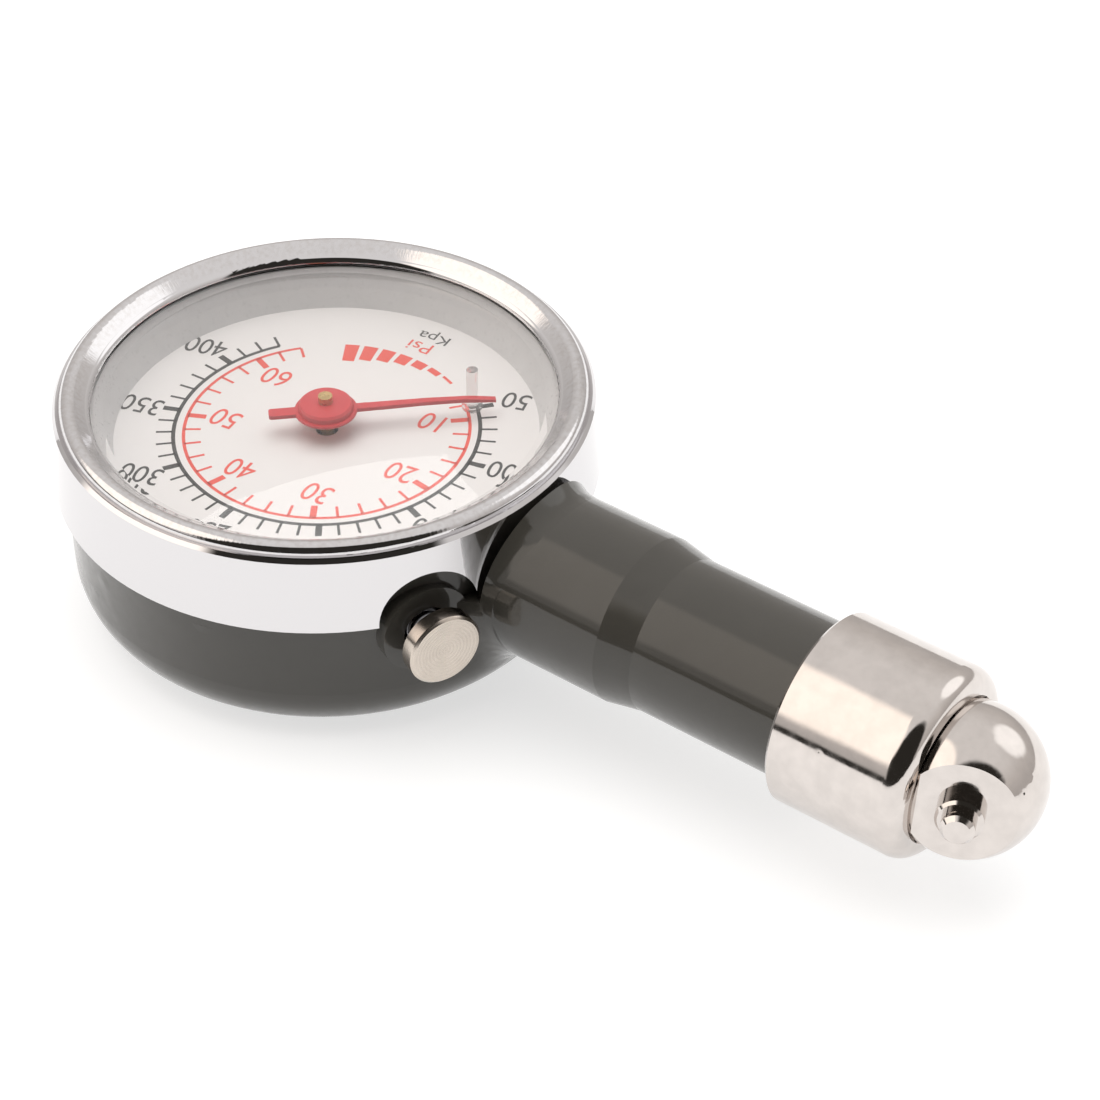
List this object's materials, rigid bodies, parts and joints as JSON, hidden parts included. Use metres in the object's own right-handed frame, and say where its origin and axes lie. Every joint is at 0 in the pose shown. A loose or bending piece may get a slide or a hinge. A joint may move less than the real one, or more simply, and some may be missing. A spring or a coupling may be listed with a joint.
{
  "type": "tire pressure gauge",
  "caption": "Hand-held dial tire pressure gauge: round case, chrome bezel, domed lens, red pointer, side release button, short neck and ball chuck with a bleed nib.",
  "frame": {"origin": "centre of the case's flat back, under the pointer's axis", "axes": "+Z out of the dial, +X along the neck towards the ball chuck"},
  "size_m": [0.1042, 0.052, 0.0238],
  "materials": {
    "case_enamel": "gloss enamel",
    "bezel_chrome": "polished",
    "nickel": "polished nickel",
    "dial_white": "satin",
    "pointer_red": "satin",
    "brass": "machined",
    "bronze": "drawn tube",
    "steel": "machined",
    "spring_steel": "drawn wire",
    "rubber": "matte",
    "clear_plastic": "clear",
    "spacer_plastic": "matte"
  },
  "bodies": {
    "housing": {"case": "case_enamel", "bezel_ring": "bezel_chrome", "lens": "clear_plastic", "lens_gasket": "rubber", "spacer_ring": "spacer_plastic", "stop_pin": "clear_plastic", "dial_plate": "dial_white", "hairspring": "bronze", "hairspring_stud": "brass", "bourdon_tube": "bronze", "socket_block": "brass", "movement_back_plate": "brass", "movement_front_plate": "brass", "movement_pillars": "brass", "movement_screws": "steel", "block_screws": "steel", "inlet_tube": "brass", "inlet_seal": "rubber", "button_spring": "spring_steel", "release_spring": "spring_steel", "check_valve_seat": "brass", "check_valve_spring": "spring_steel", "ferrule": "nickel", "ball_chuck": "nickel", "ferrule_seal": "rubber", "chuck_washer": "rubber", "core_depressor": "brass", "bleed_nib": "nickel"},
    "pointer": {"pointer": "pointer_red", "pinion_arbor": "brass"},
    "sector": {"sector_gear": "brass", "sector_arbor": "steel", "link_pin": "steel"},
    "link": {"link": "brass"},
    "tube_tip": {"tube_end": "brass"},
    "release_button": {"release_button": "nickel", "stem_clip": "spring_steel"},
    "release_valve": {"release_poppet": "rubber"},
    "check_valve": {"check_valve_poppet": "brass", "check_valve_rubber": "rubber"}
  },
  "joints": [
    {"name": "sector_turn", "type": "hinge", "parent": "housing", "child": "sector", "pos_m": [-0.00587, -0.00839, 0.009], "axis": [0, 0, 1], "range_deg": [0, 28.9], "stiffness_Nm_per_rad": 0.01},
    {"name": "pointer_turn", "type": "hinge", "parent": "housing", "child": "pointer", "pos_m": [0, 0, 0.012], "axis": [0, 0, -1], "range_deg": [0, 266], "deforming": ["hairspring"]},
    {"name": "link_turn", "type": "hinge", "parent": "sector", "child": "link", "pos_m": [-0.00982, -0.00695, 0.0099], "axis": [0, 0, 1], "range_deg": [-28.95, 0]},
    {"name": "tip_move", "type": "slide", "parent": "housing", "child": "tube_tip", "axis": [-0.0966, -0.9953, 0], "range_m": [0, 0.0021], "deforming": ["bourdon_tube"]},
    {"name": "release_button_press", "type": "slide", "parent": "housing", "child": "release_button", "axis": [-0.9336, 0.3584, 0], "range_m": [0, 0.0015], "stiffness_N_per_m": 1200, "deforming": ["button_spring"]},
    {"name": "release_valve_lift", "type": "slide", "parent": "housing", "child": "release_valve", "axis": [-0.9336, 0.3584, 0], "range_m": [0, 0.0015], "deforming": ["release_spring"]},
    {"name": "check_valve_open", "type": "slide", "parent": "housing", "child": "check_valve", "axis": [-1, 0, 0], "range_m": [0, 0.001], "stiffness_N_per_m": 200, "deforming": ["check_valve_spring"]}
  ],
  "couplings": [
    {"joint": "pointer_turn", "follows": "sector_turn", "ratio": 9.2},
    {"joint": "link_turn", "follows": "sector_turn", "ratio": -1},
    {"joint": "tip_move", "follows": "sector_turn", "m_per_rad": 0.0041553},
    {"joint": "release_valve_lift", "follows": "release_button_press", "ratio": 1}
  ]
}
